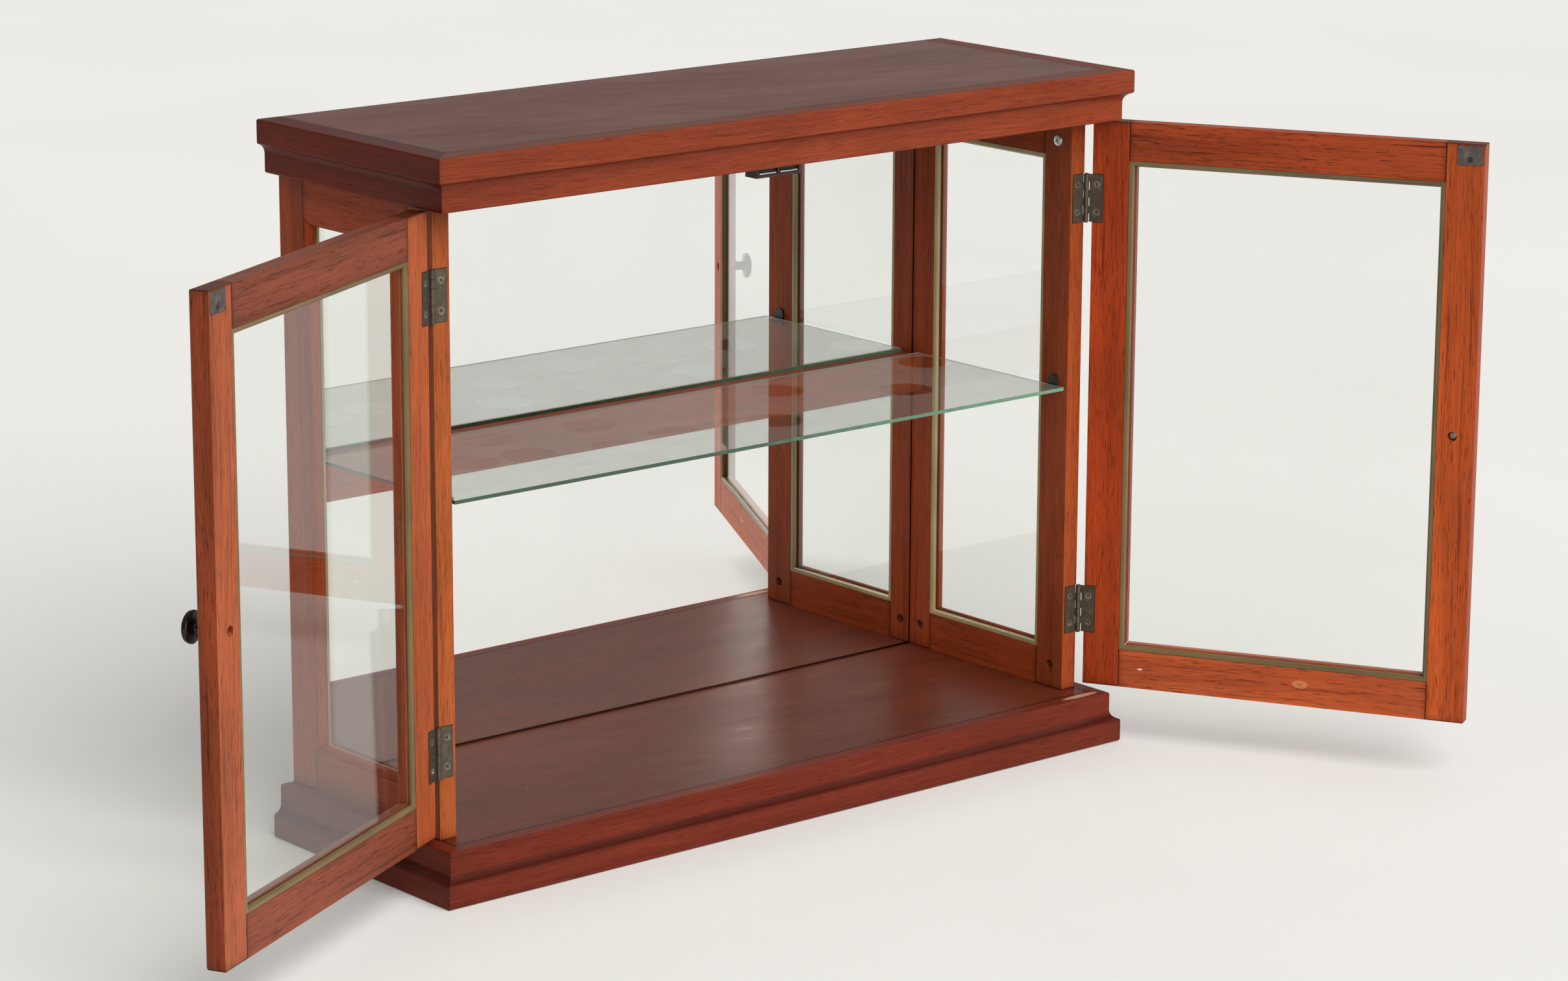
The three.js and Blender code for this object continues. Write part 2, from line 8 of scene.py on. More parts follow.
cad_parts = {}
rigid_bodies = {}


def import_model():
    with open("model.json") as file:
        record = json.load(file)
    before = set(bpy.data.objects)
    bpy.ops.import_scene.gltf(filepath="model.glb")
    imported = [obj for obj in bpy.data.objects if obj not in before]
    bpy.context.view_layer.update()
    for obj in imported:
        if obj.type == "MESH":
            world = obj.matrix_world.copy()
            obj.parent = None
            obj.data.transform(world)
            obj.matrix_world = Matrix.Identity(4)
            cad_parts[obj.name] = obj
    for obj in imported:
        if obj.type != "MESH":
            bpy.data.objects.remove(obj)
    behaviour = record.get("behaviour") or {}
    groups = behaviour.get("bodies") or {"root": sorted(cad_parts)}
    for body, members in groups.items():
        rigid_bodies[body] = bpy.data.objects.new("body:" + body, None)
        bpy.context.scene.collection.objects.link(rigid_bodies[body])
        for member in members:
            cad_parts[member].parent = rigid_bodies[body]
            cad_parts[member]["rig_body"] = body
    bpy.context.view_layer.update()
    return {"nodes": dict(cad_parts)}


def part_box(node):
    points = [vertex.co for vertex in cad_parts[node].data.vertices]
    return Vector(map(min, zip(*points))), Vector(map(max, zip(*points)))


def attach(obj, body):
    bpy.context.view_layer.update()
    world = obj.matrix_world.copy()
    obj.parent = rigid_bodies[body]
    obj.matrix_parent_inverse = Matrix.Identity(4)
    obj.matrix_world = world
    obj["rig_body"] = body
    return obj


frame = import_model()
nodes = frame["nodes"]

MM = 0.001
UP = (0.0, 0.0, 1.0)

# ---- Where things are, in metres, in the case's own frame ----
PIN_OUT = 332.1 * MM  # hinge pins, to each side of the middle
PIN_FORWARD = 25.6 * MM  # and back from the frame's zero
RIGHT_OPEN = math.radians(118.7)  # each door's stored angle, about its pins
LEFT_OPEN = math.radians(-152.3)
HINGE_MIDDLES = (461.7 * MM, 111.3 * MM)
HINGE_SCREW_REACH = 8.6 * MM
HINGE_SCREW_RISE = 11.5 * MM
CASE_LEAF_FACE = 26.4 * MM
DOOR_INNER_FACE = -1.2 * MM  # in a closed door's own frame, from the pin
DOOR_LEAF_FACE = -0.8 * MM
KNOB_REACH = 313.2 * MM
KNOB_HEIGHT = 286.5 * MM
STRIKE_REACH = 319.1 * MM
STRIKE_SCREW_HEIGHT = 513.55 * MM
SIDE_INNER = 315.7 * MM
FIXING_PLACES = (42.3 * MM, 206.7 * MM)
FIXING_HEIGHTS = (61.45 * MM, 509.05 * MM)
SHELF_TOP = 304.1 * MM
SHELF_HALF_WIDTH = 312.7 * MM
SHELF_FRONT, SHELF_BACK = 27.5 * MM, 208.85 * MM
CATCH_FRONT = 25.0 * MM
CATCH_BOTTOM, CATCH_TOP = 515.85 * MM, 528.35 * MM
BACK_FACE = 225.0 * MM
CLEAN_RADIUS = 23 * MM  # the round feet that kept the dust off the shelf
CLEAN_DISCS = (  # their middles, in mm
    (-230.0, 119.7),
    (-179.2, 112.2),
    (-108.4, 88.9),
    (-42.9, 99.8),
    (47.8, 82.8),
    (-175.2, 175.1),
    (-82.4, 164.6),
    (119.5, 167.8),
    (205.3, 104.6),
    (289.7, 174.6),
)


# ---- Turning between a door's closed frame and the case's frame ----
def door_place(side):
    """A door's pivot and turn: a closed point p, measured from the pin, is at pivot + turn * p."""
    pivot = Vector((side * PIN_OUT, PIN_FORWARD, 0))
    angle = RIGHT_OPEN if side > 0 else LEFT_OPEN
    return pivot, Matrix.Rotation(angle, 3, "Z")


def turn_of(name):
    """The turn of the door that a CAD node belongs to, or no turn."""
    if nodes[name]["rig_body"] == "right_door":
        return door_place(1)[1]
    if nodes[name]["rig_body"] == "left_door":
        return door_place(-1)[1]
    return Matrix.Identity(3)


def board_axes(name):
    """A board's middle, its axes and its half sizes: its length is the longest side of its box, measured
    in its door's closed frame, its thickness the shortest, and the three axes make a right-handed set
    (length, width, thickness)."""
    turn = np.array(turn_of(name))
    mesh = nodes[name].data
    points = np.zeros(len(mesh.vertices) * 3)
    mesh.vertices.foreach_get("co", points)
    own = points.reshape(-1, 3) @ turn
    low, high = own.min(0), own.max(0)
    order = np.argsort(low - high)
    axes = np.eye(3)[:, order]
    if np.linalg.det(axes) < 0:
        axes[:, 2] *= -1
    half = (high - low)[order] / 2
    return Vector(turn @ ((low + high) / 2)), Matrix(turn @ axes), half


# ---- Materials ----
class Finish:
    """One material and the nodes that make its pattern."""

    def __init__(self, name):
        self.material = bpy.data.materials.new(name)
        self.material.use_nodes = True
        self.tree = self.material.node_tree
        self.tree.nodes.clear()
        self.shader = self.add("BsdfPrincipled")
        self.output = self.add("OutputMaterial")
        self.join(self.shader.outputs[0], self.output.inputs[0])

    def add(self, kind, inputs=(), **settings):
        """A node of that kind, with its settings. Its inputs are given by name or number, as values or as
        other sockets."""
        node = self.tree.nodes.new("ShaderNode" + kind)
        for key, value in settings.items():
            setattr(node, key, value)
        for key, value in dict(inputs).items():
            self.give(node.inputs[key], value)
        return node

    def join(self, source, target):
        self.tree.links.new(source, target)

    def give(self, socket, value):
        if isinstance(value, bpy.types.NodeSocket):
            self.join(value, socket)
        else:
            socket.default_value = value

    def set(self, **values):
        """The shader's own inputs, such as base_color or coat_weight."""
        for key, value in values.items():
            words = key.replace("_", " ").title().replace("Ior", "IOR")
            self.give(self.shader.inputs[words], value)

    def place(self, middle=(0, 0, 0), axes=None):
        """Object coordinates measured from a middle, along a piece's own axes."""
        source = self.add("TexCoord").outputs["Object"]
        turned = self.add("Mapping", {0: source}, vector_type="TEXTURE")
        turned.inputs["Location"].default_value = middle
        if axes is not None:
            turned.inputs["Rotation"].default_value = axes.to_euler()
        return turned.outputs[0]

    def stretched(self, vector, amounts):
        node = self.add("VectorMath", {0: vector, 1: amounts}, operation="MULTIPLY")
        return node.outputs[0]

    def noise(self, vector, amounts, seed=0.0, detail=2.0, roughness=0.5, distortion=0.0):
        """Noise from 0 to 1 whose cells a metre are the three amounts."""
        node = self.add(
            "TexNoise",
            {
                "Vector": self.stretched(vector, amounts),
                "W": seed,
                "Scale": 1.0,
                "Detail": detail,
                "Roughness": roughness,
                "Distortion": distortion,
            },
            noise_dimensions="4D",
        )
        return node.outputs[0]

    def ramp(self, value, low, high, start=0.0, end=1.0, smooth=True):
        """The value's run from low to high, taken to start and end, level outside."""
        node = self.add(
            "MapRange",
            {0: value, 1: low, 2: high, 3: start, 4: end},
            interpolation_type="SMOOTHSTEP" if smooth else "LINEAR",
        )
        return node.outputs[0]

    def sum(self, operation, *values, clamp=False):
        node = self.add("Math", dict(enumerate(values)), operation=operation, use_clamp=clamp)
        return node.outputs[0]

    def mix(self, amount, first, second, way="MIX"):
        """Two colours mixed by the amount of the second."""
        node = self.add("Mix", {0: amount, 6: first, 7: second}, data_type="RGBA", blend_type=way)
        return node.outputs[2]

    def dimmed(self, colour, amount):
        """The colour multiplied by a number."""
        grey = self.add("CombineColor", {0: amount, 1: amount, 2: amount}).outputs[0]
        return self.mix(1.0, colour, grey, "MULTIPLY")

    def parts(self, vector):
        return self.add("SeparateXYZ", {0: vector}).outputs

    def bump(self, height, distance, strength=1.0):
        node = self.add("Bump", {"Height": height, "Distance": distance, "Strength": strength})
        self.join(node.outputs[0], self.shader.inputs["Normal"])


def rgb(red, green, blue):
    return (red, green, blue, 1.0)


def times(colour, factor):
    """A colour made darker or paler by a factor."""
    return rgb(*(factor * part for part in colour))


def ellipse_mask(finish, vector, middle, sizes, seed):
    """1 inside an ellipsoid about a point, falling to 0 across a ragged rim."""
    offset = finish.add("VectorMath", {0: vector, 1: middle}, operation="SUBTRACT").outputs[0]
    scaled = finish.add("VectorMath", {0: offset, 1: sizes}, operation="DIVIDE").outputs[0]
    reach = finish.add("VectorMath", {0: scaled}, operation="LENGTH").outputs["Value"]
    torn = finish.noise(vector, (400.0, 400.0, 400.0), seed, 3.0)
    ragged = finish.sum("ADD", reach, finish.sum("MULTIPLY", torn, RAGGEDNESS))
    return finish.ramp(ragged, 1.0 + 0.75 * RAGGEDNESS, 0.85 + 0.45 * RAGGEDNESS)


RAGGEDNESS = 0.35


def stained_wood(
    name,
    board,
    seed,
    light,
    dark,
    figure=0.5,
    pores=0.6,
    gloss=0.36,
    coat=0.04,
    joints=0.55,
    marks=(),
    shine=0.13,
    across=None,
    hollow=None,
):
    """Stained and varnished wood, whose colour is built up along the board's own length: broad bands,
    narrow wavy streaks, fine fibres and short dark pores, with the stain gathered in a thin dark line at
    both ends of the board. Each mark is (middle, sizes, colour, amount): a worn or knotty place in the
    case's frame. Across is (axis, shade): faces that look along that axis have the colour multiplied by
    the shade. Hollow is the height of a moulding's hollow, darkened by gathered stain and painted shade."""
    finish = Finish(name)
    middle, axes, half = board
    at = finish.place(middle, axes)
    drift = finish.noise(at, (2.2, 9.0, 9.0), seed, 1.0)
    sway_y = finish.sum("MULTIPLY", drift, 0.022)
    sway_z = finish.sum("MULTIPLY", drift, 0.013)
    sway = finish.add("CombineXYZ", {1: sway_y, 2: sway_z})
    wavy = finish.add("VectorMath", {0: at, 1: sway.outputs[0]}, operation="ADD").outputs[0]
    bands = finish.noise(wavy, (1.6, 60.0, 60.0), seed + 3.1, 2.0, 0.55)
    streaks = finish.noise(wavy, (6.0, 300.0, 300.0), seed + 7.7, 4.0, 0.66)
    fibres = finish.noise(wavy, (22.0, 1900.0, 1900.0), seed + 1.3, 2.0, 0.6)
    short = finish.noise(wavy, (75.0, 1500.0, 1500.0), seed + 5.9, 1.0, 0.5)
    blotches = finish.noise(at, (7.0, 16.0, 16.0), seed + 9.2, 2.0, 0.5)
    tone = finish.sum(
        "ADD",
        finish.ramp(bands, 0.36, 0.66),
        finish.sum("MULTIPLY", finish.ramp(streaks, 0.50, 0.70), 1.1 * figure),
    )
    tone = finish.sum("MULTIPLY", tone, 0.35 + 0.5 * figure, clamp=True)
    colour = finish.mix(tone, rgb(*light), rgb(*dark))
    veins = finish.ramp(streaks, 0.55, 0.68, 0.0, 0.95 * figure)
    colour = finish.mix(veins, colour, times(dark, 0.34))
    colour = finish.dimmed(colour, finish.ramp(fibres, 0.30, 0.72, 0.78, 1.20))
    colour = finish.dimmed(colour, finish.ramp(blotches, 0.25, 0.75, 0.86, 1.12))
    pore = finish.ramp(short, 0.60, 0.67, 0.0, pores)
    colour = finish.mix(pore, colour, times(dark, 0.22))
    along = finish.sum("ABSOLUTE", finish.parts(at)[0])
    line = finish.ramp(along, half[0] - 1.5 * MM, half[0] - 0.6 * MM, 0.0, joints)
    halo = finish.ramp(along, half[0] - 7 * MM, half[0], 0.0, 0.3 * joints)
    colour = finish.mix(finish.sum("MAXIMUM", line, halo), colour, times(dark, 0.16))
    if across:
        axis, shade = across
        normal = finish.add("TexCoord").outputs["Normal"]
        facing = finish.add("VectorMath", {0: normal, 1: axis}, operation="DOT_PRODUCT").outputs["Value"]
        amount = finish.ramp(finish.sum("ABSOLUTE", facing), 0.75, 0.95)
        colour = finish.mix(amount, colour, rgb(*shade), "MULTIPLY")
    if hollow is not None:
        height = finish.parts(finish.add("TexCoord").outputs["Object"])[2]
        away = finish.sum("ABSOLUTE", finish.sum("SUBTRACT", height, hollow))
        # darker around the hollow's height: gathered stain and painted shade
        stain_and_shade_in_hollow = finish.ramp(away, 0.6 * MM, 5.2 * MM, 0.72, 0.0)
        colour = finish.mix(stain_and_shade_in_hollow, colour, times(dark, 0.30))
    if marks:
        plain = finish.add("TexCoord").outputs["Object"]
        for number, (spot, sizes, mark_colour, amount) in enumerate(marks):
            mask = ellipse_mask(finish, plain, spot, sizes, seed=number + 2.0)
            colour = finish.mix(finish.sum("MULTIPLY", mask, amount), colour, rgb(*mark_colour))
    uneven = finish.sum("ADD", blotches, finish.sum("MULTIPLY", fibres, 0.4))
    finish.set(
        base_color=colour,
        roughness=finish.ramp(uneven, 0.3, 1.0, gloss - 0.05, gloss + 0.10),
        coat_weight=coat,
        coat_roughness=0.2,
        specular_ior_level=shine,
    )
    relief = finish.sum("SUBTRACT", finish.sum("MULTIPLY", fibres, 0.35), finish.sum("MULTIPLY", pore, 0.9))
    finish.bump(relief, 0.12 * MM, 0.6)
    return finish.material


def veneered_panel(name, board, seed, light, dark, dust):
    """Varnished veneer: soft cloudy figure crossed by faint slanting ripples, with fine short pores along
    the length, a dark joint line round its rim, and specks of dust where dust is above 0."""
    finish = Finish(name)
    middle, axes, half = board
    at = finish.place(middle, axes)
    clouds = finish.noise(at, (4.0, 12.0, 12.0), seed, 3.0, 0.6, 0.4)
    slanted = finish.add("Mapping", {0: at}, vector_type="POINT")
    slanted.inputs["Rotation"].default_value = (0, 0, math.radians(24))
    ripples = finish.noise(slanted.outputs[0], (16.0, 70.0, 20.0), seed + 2.0, 3.0, 0.6)
    streaks = finish.noise(at, (9.0, 210.0, 60.0), seed + 4.0, 3.0, 0.65)
    short = finish.noise(at, (110.0, 1350.0, 300.0), seed + 6.0, 1.0)
    cloudy = finish.ramp(clouds, 0.30, 0.70, 0, 0.5)
    tone = finish.sum("ADD", cloudy, finish.ramp(ripples, 0.4, 0.7, 0, 0.25))
    tone = finish.sum("ADD", tone, finish.ramp(streaks, 0.40, 0.7, 0, 0.4), clamp=True)
    colour = finish.mix(tone, rgb(*light), rgb(*dark))
    x, y, _ = finish.parts(at)
    rims = [
        finish.ramp(finish.sum("ABSOLUTE", place), reach - 2.7 * MM, reach - 1.4 * MM)
        for place, reach in ((x, half[0]), (y, half[1]))
    ]
    rim = finish.sum("MAXIMUM", *rims)
    colour = finish.mix(finish.sum("MULTIPLY", rim, 0.85), colour, times(dark, 0.15))
    pore = finish.ramp(short, 0.62, 0.70, 0.0, 0.5)
    colour = finish.mix(pore, colour, times(dark, 0.3))
    cells = finish.stretched(at, (95.0, 95.0, 95.0))
    specks = finish.add("TexVoronoi", {"Vector": cells, "Scale": 1.0, "Randomness": 1.0})
    size = finish.parts(specks.outputs["Color"])[0]
    reach = finish.sum("MULTIPLY", finish.ramp(size, 0.90, 1.0, 0.0, 0.085, smooth=False), dust)
    speck = finish.sum("LESS_THAN", specks.outputs["Distance"], reach)
    colour = finish.mix(finish.sum("MULTIPLY", speck, 0.75), colour, rgb(0.55, 0.42, 0.36))
    uneven = finish.sum("ADD", clouds, finish.sum("MULTIPLY", ripples, 0.5))
    finish.set(
        base_color=colour,
        roughness=finish.ramp(uneven, 0.4, 1.1, 0.26, 0.37),
        coat_weight=0.04,
        coat_roughness=0.25,
        specular_ior_level=0.16,
    )
    finish.bump(finish.sum("SUBTRACT", finish.sum("MULTIPLY", ripples, 0.6), pore), 0.10 * MM, 0.5)
    return finish.material


def clear_glass(name, tint, edge=None):
    """Float glass that lets lamps through. Where an edge colour is given, faces that don't look up or down
    take it, made brighter towards the right by painted light. Faint wiped smudges change its polish."""
    finish = Finish(name)
    at = finish.place()
    wiped = finish.noise(at, (9.0, 9.0, 14.0), 3.0, 3.0, 0.6, 0.8)
    polish = finish.ramp(wiped, 0.45, 0.8, 0.0, 0.012)
    colour = finish.mix(finish.ramp(wiped, 0.3, 0.8, 0.0, 0.25), rgb(*tint), times(tint, 0.985))
    finish.set(ior=1.5, specular_ior_level=0.5)
    if edge is None:
        finish.set(base_color=colour, roughness=polish, transmission_weight=1.0)
    else:
        facing = finish.sum("ABSOLUTE", finish.parts(finish.add("TexCoord").outputs["Normal"])[2])
        rim = finish.ramp(facing, 0.9, 0.6)
        chips = finish.noise(at, (120.0, 120.0, 400.0), 5.0, 3.0)
        across = finish.sum("ADD", finish.parts(at)[0], finish.sum("MULTIPLY", chips, 0.3))
        # the edge colour grows brighter towards the right: painted light
        rim_colour_painted_light = finish.mix(finish.ramp(across, 0.05, 0.45), rgb(*edge), times(edge, 3.5))
        finish.set(
            base_color=finish.mix(rim, colour, rim_colour_painted_light),
            roughness=finish.sum("ADD", polish, finish.sum("MULTIPLY", rim, 0.16)),
            transmission_weight=finish.ramp(rim, 0.0, 1.0, 1.0, 0.25),
        )
    through = finish.add("BsdfTransparent", {0: times(tint, 0.98)}).outputs[0]
    ray = finish.add("LightPath").outputs
    seen = finish.shader.outputs[0]
    for kind in ("Is Diffuse Ray", "Is Shadow Ray"):
        seen = finish.add("MixShader", {0: ray[kind], 1: seen, 2: through}).outputs[0]
    finish.join(seen, finish.output.inputs[0])
    return finish.material


def silvered_mirror():
    """A silvered pane: an almost smooth metal with a faint green cast, fogged a little in cloudy places,
    with a narrow dark rim along its edges."""
    finish = Finish("silvered_mirror")
    low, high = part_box("mirror")
    at = finish.place((low + high) / 2)
    fog = finish.noise(at, (8.0, 8.0, 8.0), 4.0, 4.0, 0.6)
    x, _, z = finish.parts(at)
    half_width = SIDE_INNER - 1.1 * MM  # the sides' stiles cover the rest
    half_height = (high.z - low.z) / 2
    across = finish.ramp(finish.sum("ABSOLUTE", x), half_width - 0.7 * MM, half_width + 0.3 * MM)
    upright = finish.ramp(finish.sum("ABSOLUTE", z), half_height - 2.3 * MM, half_height - 1.3 * MM)
    dark_rim = finish.sum("MAXIMUM", across, upright)
    colour = finish.mix(finish.ramp(fog, 0.3, 0.8), rgb(0.90, 0.915, 0.90), rgb(0.86, 0.88, 0.865))
    finish.set(
        base_color=finish.mix(finish.sum("MULTIPLY", dark_rim, 0.93), colour, rgb(0.05, 0.035, 0.03)),
        metallic=1.0,
        roughness=finish.ramp(fog, 0.35, 0.8, 0.0, 0.02),
    )
    return finish.material


def retainer_bead(name, board, shade):
    """A moulded strip of olive plastic: fine lines drawn along it and a slow change of tone."""
    finish = Finish(name)
    at = finish.place(board[0], board[1])
    drawn = finish.noise(at, (3.0, 3.0, 700.0), 2.0, 2.0)
    cloudy = finish.noise(at, (14.0, 14.0, 26.0), 6.0, 2.0)
    colour = finish.mix(finish.ramp(cloudy, 0.3, 0.75), rgb(*shade), times(shade, 0.62))
    colour = finish.mix(finish.ramp(drawn, 0.45, 0.7, 0, 0.25), colour, times(shade, 1.5))
    finish.set(
        base_color=colour,
        roughness=finish.ramp(cloudy, 0.3, 0.8, 0.30, 0.42),
        coat_weight=0.15,
        coat_roughness=0.2,
        specular_ior_level=0.35,
    )
    finish.bump(drawn, 0.00003, 0.4)
    return finish.material


def aged_metal(name, base, worn, rough, metallic=0.92):
    """Antiqued metal: a dark patina with worn paler places, fine pitting and faint brushed lines."""
    finish = Finish(name)
    at = finish.place()
    patches = finish.noise(at, (150.0, 150.0, 110.0), 1.0, 4.0, 0.65)
    pits = finish.noise(at, (1540.0, 1540.0, 1540.0), 2.0, 2.0)
    brushed = finish.noise(at, (2600.0, 2600.0, 120.0), 3.0, 2.0)
    colour = finish.mix(finish.ramp(patches, 0.40, 0.72), rgb(*base), rgb(*worn))
    colour = finish.mix(finish.ramp(pits, 0.60, 0.75, 0.0, 0.6), colour, times(base, 0.35))
    polished = finish.sum("ADD", patches, finish.sum("MULTIPLY", brushed, 0.3))
    finish.set(
        base_color=colour,
        metallic=metallic,
        roughness=finish.ramp(polished, 0.4, 1.0, rough + 0.1, rough - 0.05),
    )
    finish.bump(finish.sum("SUBTRACT", finish.sum("MULTIPLY", brushed, 0.4), pits), 0.00007, 0.6)
    return finish.material


def moulded_plastic(name, colour, rough=0.42):
    """Moulded plastic with a fine spark-eroded texture and slight wear."""
    finish = Finish(name)
    at = finish.place()
    spark = finish.noise(at, (1500.0, 1500.0, 1500.0), 1.0, 3.0)
    cloudy = finish.noise(at, (60.0, 60.0, 60.0), 2.0, 3.0)
    finish.set(
        base_color=finish.mix(finish.ramp(cloudy, 0.3, 0.8), rgb(*colour), times(colour, 1.5)),
        roughness=finish.ramp(cloudy, 0.3, 0.8, rough, rough + 0.12),
    )
    finish.bump(spark, 0.00005, 0.5)
    return finish.material


def hardboard():
    """Brown hardboard: pressed fibres in every direction on a smooth warm ground."""
    finish = Finish("back_hardboard")
    at = finish.place()
    fibres = finish.noise(at, (420.0, 420.0, 420.0), 1.0, 5.0, 0.7, 1.2)
    cloudy = finish.noise(at, (9.0, 9.0, 9.0), 2.0, 3.0)
    colour = finish.mix(finish.ramp(fibres, 0.35, 0.7), rgb(0.215, 0.118, 0.058), rgb(0.125, 0.066, 0.032))
    colour = finish.mix(finish.ramp(cloudy, 0.35, 0.75, 0, 0.35), colour, rgb(0.26, 0.155, 0.085))
    finish.set(base_color=colour, roughness=finish.ramp(fibres, 0.3, 0.7, 0.55, 0.72))
    finish.bump(fibres, 0.00015, 0.5)
    return finish.material


def settled_dust():
    """A pale uneven film of dust that is missing in round clean discs, where things stood."""
    finish = Finish("settled_dust")
    at = finish.place()
    x, y, _ = finish.parts(at)
    flat = finish.add("CombineXYZ", {0: x, 1: y}).outputs[0]
    uneven = finish.noise(at, (30.0, 46.0, 30.0), 1.0, 4.0, 0.6)
    grains = finish.noise(at, (2200.0, 2200.0, 2200.0), 2.0, 2.0)
    cloudy = finish.ramp(uneven, 0.25, 0.75, 0.75, 1.15)
    amount = finish.sum("MULTIPLY", cloudy, finish.ramp(grains, 0.3, 0.7, 0.8, 1.2))
    torn = finish.sum("MULTIPLY", finish.sum("SUBTRACT", uneven, 0.5), 4 * MM)
    for disc_x, disc_y in CLEAN_DISCS:
        middle = (disc_x * MM, disc_y * MM, 0)
        reach = finish.add("VectorMath", {0: flat, 1: middle}, operation="DISTANCE").outputs["Value"]
        wobble = finish.sum("ADD", reach, torn)
        kept = finish.ramp(wobble, CLEAN_RADIUS - 1.0 * MM, CLEAN_RADIUS + 0.6 * MM, 0.12, 1.0)
        amount = finish.sum("MULTIPLY", amount, kept)
    finish.set(
        base_color=finish.mix(finish.ramp(uneven, 0.3, 0.7), rgb(0.60, 0.58, 0.52), rgb(0.50, 0.48, 0.43)),
        roughness=finish.ramp(uneven, 0.3, 0.7, 0.85, 0.95),
        alpha=finish.sum("MULTIPLY", amount, 0.062, clamp=True),
        specular_ior_level=0.0,
    )
    return finish.material


# ---- Shapes of the small pieces ----
def turned_rings(radii, heights, segments):
    """A surface of revolution about the third axis: ring i has that radius and height, and its point j is
    at angle 2 pi j / segments."""
    angles = np.arange(segments) * (2 * np.pi / segments)
    radii, heights = np.asarray(radii, float)[:, None], np.asarray(heights, float)[:, None]
    levels = np.broadcast_to(heights, (len(radii), segments))
    return np.stack([radii * np.cos(angles), radii * np.sin(angles), levels], 2)


def closed_rings(rings, first, last):
    """Points and faces of a closed surface: rings of points joined by quads, each end closed by a fan to
    its own pole."""
    count, segments = rings.shape[:2]
    points = np.vstack([rings.reshape(-1, 3), [first], [last]])
    here = np.arange(segments)
    following = (here + 1) % segments
    row = np.arange(count - 1)[:, None] * segments
    above = row + segments
    quads = np.stack([row + here, row + following, above + following, above + here], 2).reshape(-1, 4)
    base = (count - 1) * segments
    start = np.stack([following, here, np.full(segments, count * segments)], 1)
    end = np.stack([base + here, base + following, np.full(segments, count * segments + 1)], 1)
    return points, [quads.tolist(), start.tolist(), end.tolist()]


def cross_recess(rings, count, depth, reach, width):
    """Presses a cross into the first rings: each point sinks by depth times how far inside either arm it
    lies, an arm being 1 at its middle line, 0 at half its width, and tapering to nothing at its reach."""
    x, y = rings[:count, :, 0], rings[:count, :, 1]

    def arm(across, along):
        inside = np.clip(1.6 * (1 - np.abs(across) / (width / 2)), 0, 1)
        return inside * np.clip(2.2 * (1 - np.abs(along) / reach), 0, 1)

    rings[:count, :, 2] -= depth * np.maximum(arm(x, y), arm(y, x))
    return rings


def crossed_head(radius, crown, rim, cone, shank):
    """A screw's head: a crown that falls away with the square of the distance from the middle, with a
    cross pressed in it, a rounded rim of the given height, and a cone down to the shank's radius. Its
    zero is where the head meets the face."""
    inner = np.linspace(0.04, 0.93, 15) * radius
    radii = [*inner, radius, radius, shank]
    heights = [*(rim + crown * (1 - (inner / radius) ** 2)), rim * 0.6, 0.0, -cone]
    rings = turned_rings(radii, heights, 40)
    depth = 0.42 * radius
    cross_recess(rings, len(inner), depth, 0.62 * radius, 0.34 * radius)
    return closed_rings(rings[:, ::-1], (0, 0, rim + crown - depth), (0, 0, -cone - 0.2 * MM))


def socket_head(radius, height, key):
    """A bolt's head with a six-sided socket: the socket's outline is a hexagon, whose distance from the
    middle at angle a is key / cos((a mod 60) - 30), and its wall goes straight down."""
    angles = np.arange(48) * (2 * np.pi / 48)
    hexagon = key / np.cos((angles % (np.pi / 3)) - np.pi / 6)
    x, y = hexagon * np.cos(angles), hexagon * np.sin(angles)
    rows = [
        np.stack([scale * x, scale * y, np.full(48, level * height)], 1)
        for scale, level in ((0.5, 0.25), (0.97, 0.25), (1.0, 0.3), (1.0, 1.0), (1.06, 1.04))
    ]
    radii = [0.9 * radius, radius, radius, 0.9 * radius]
    outside = turned_rings(radii, [1.04 * height, 0.93 * height, 0.1 * height, 0.0], 48)
    return closed_rings(np.concatenate([np.stack(rows), outside]), (0, 0, 0.2 * height), (0, 0, 0))


def soft_block(half, rounding):
    """A block whose outline in each section is a rectangle with rounded corners: sections stacked along
    the third axis, drawn in at both ends by the same rounding."""
    angles = np.arange(40) * (2 * np.pi / 40) + np.pi / 40
    towards = np.stack([np.cos(angles), np.sin(angles)], 1)
    turns = np.linspace(0, np.pi / 2, 4)
    fading, growing = rounding * (1 - np.sin(turns)), rounding * (1 - np.cos(turns))
    insets = np.concatenate([fading, growing])
    levels = np.concatenate([-half[2] + growing, half[2] - fading])
    core = np.array(half[:2]) - rounding
    rings = []
    for inset, level in zip(insets, levels):
        outline = np.sign(towards) * core + towards * (rounding - inset)
        rings.append(np.column_stack([outline, np.full(len(angles), level)]))
    return closed_rings(np.stack(rings), (0, 0, -half[2]), (0, 0, half[2]))


def set_on(shape, origin, outward, spin=0.0):
    """The shape with its third axis outward from an upright face, at the origin, turned by spin about
    that axis."""
    points, faces = shape
    out = Vector(outward).normalized()
    side = Vector(UP).cross(out).normalized()
    up = out.cross(side)
    basis = np.array([side, up, out])
    c, s = math.cos(spin), math.sin(spin)
    turned = points @ np.array([[c, s, 0], [-s, c, 0], [0, 0, 1]])
    return turned @ basis + np.array(origin), faces


def on_door(side, shape, reach, height, face, spin=0.0):
    """The shape on a door's inner face: reach from the pin towards the free edge, at that height, on that
    closed plane."""
    pivot, turn = door_place(side)
    origin = pivot + turn @ Vector((-side * reach, face, height))
    return set_on(shape, origin, turn @ Vector((0, 1, 0)), spin=spin)


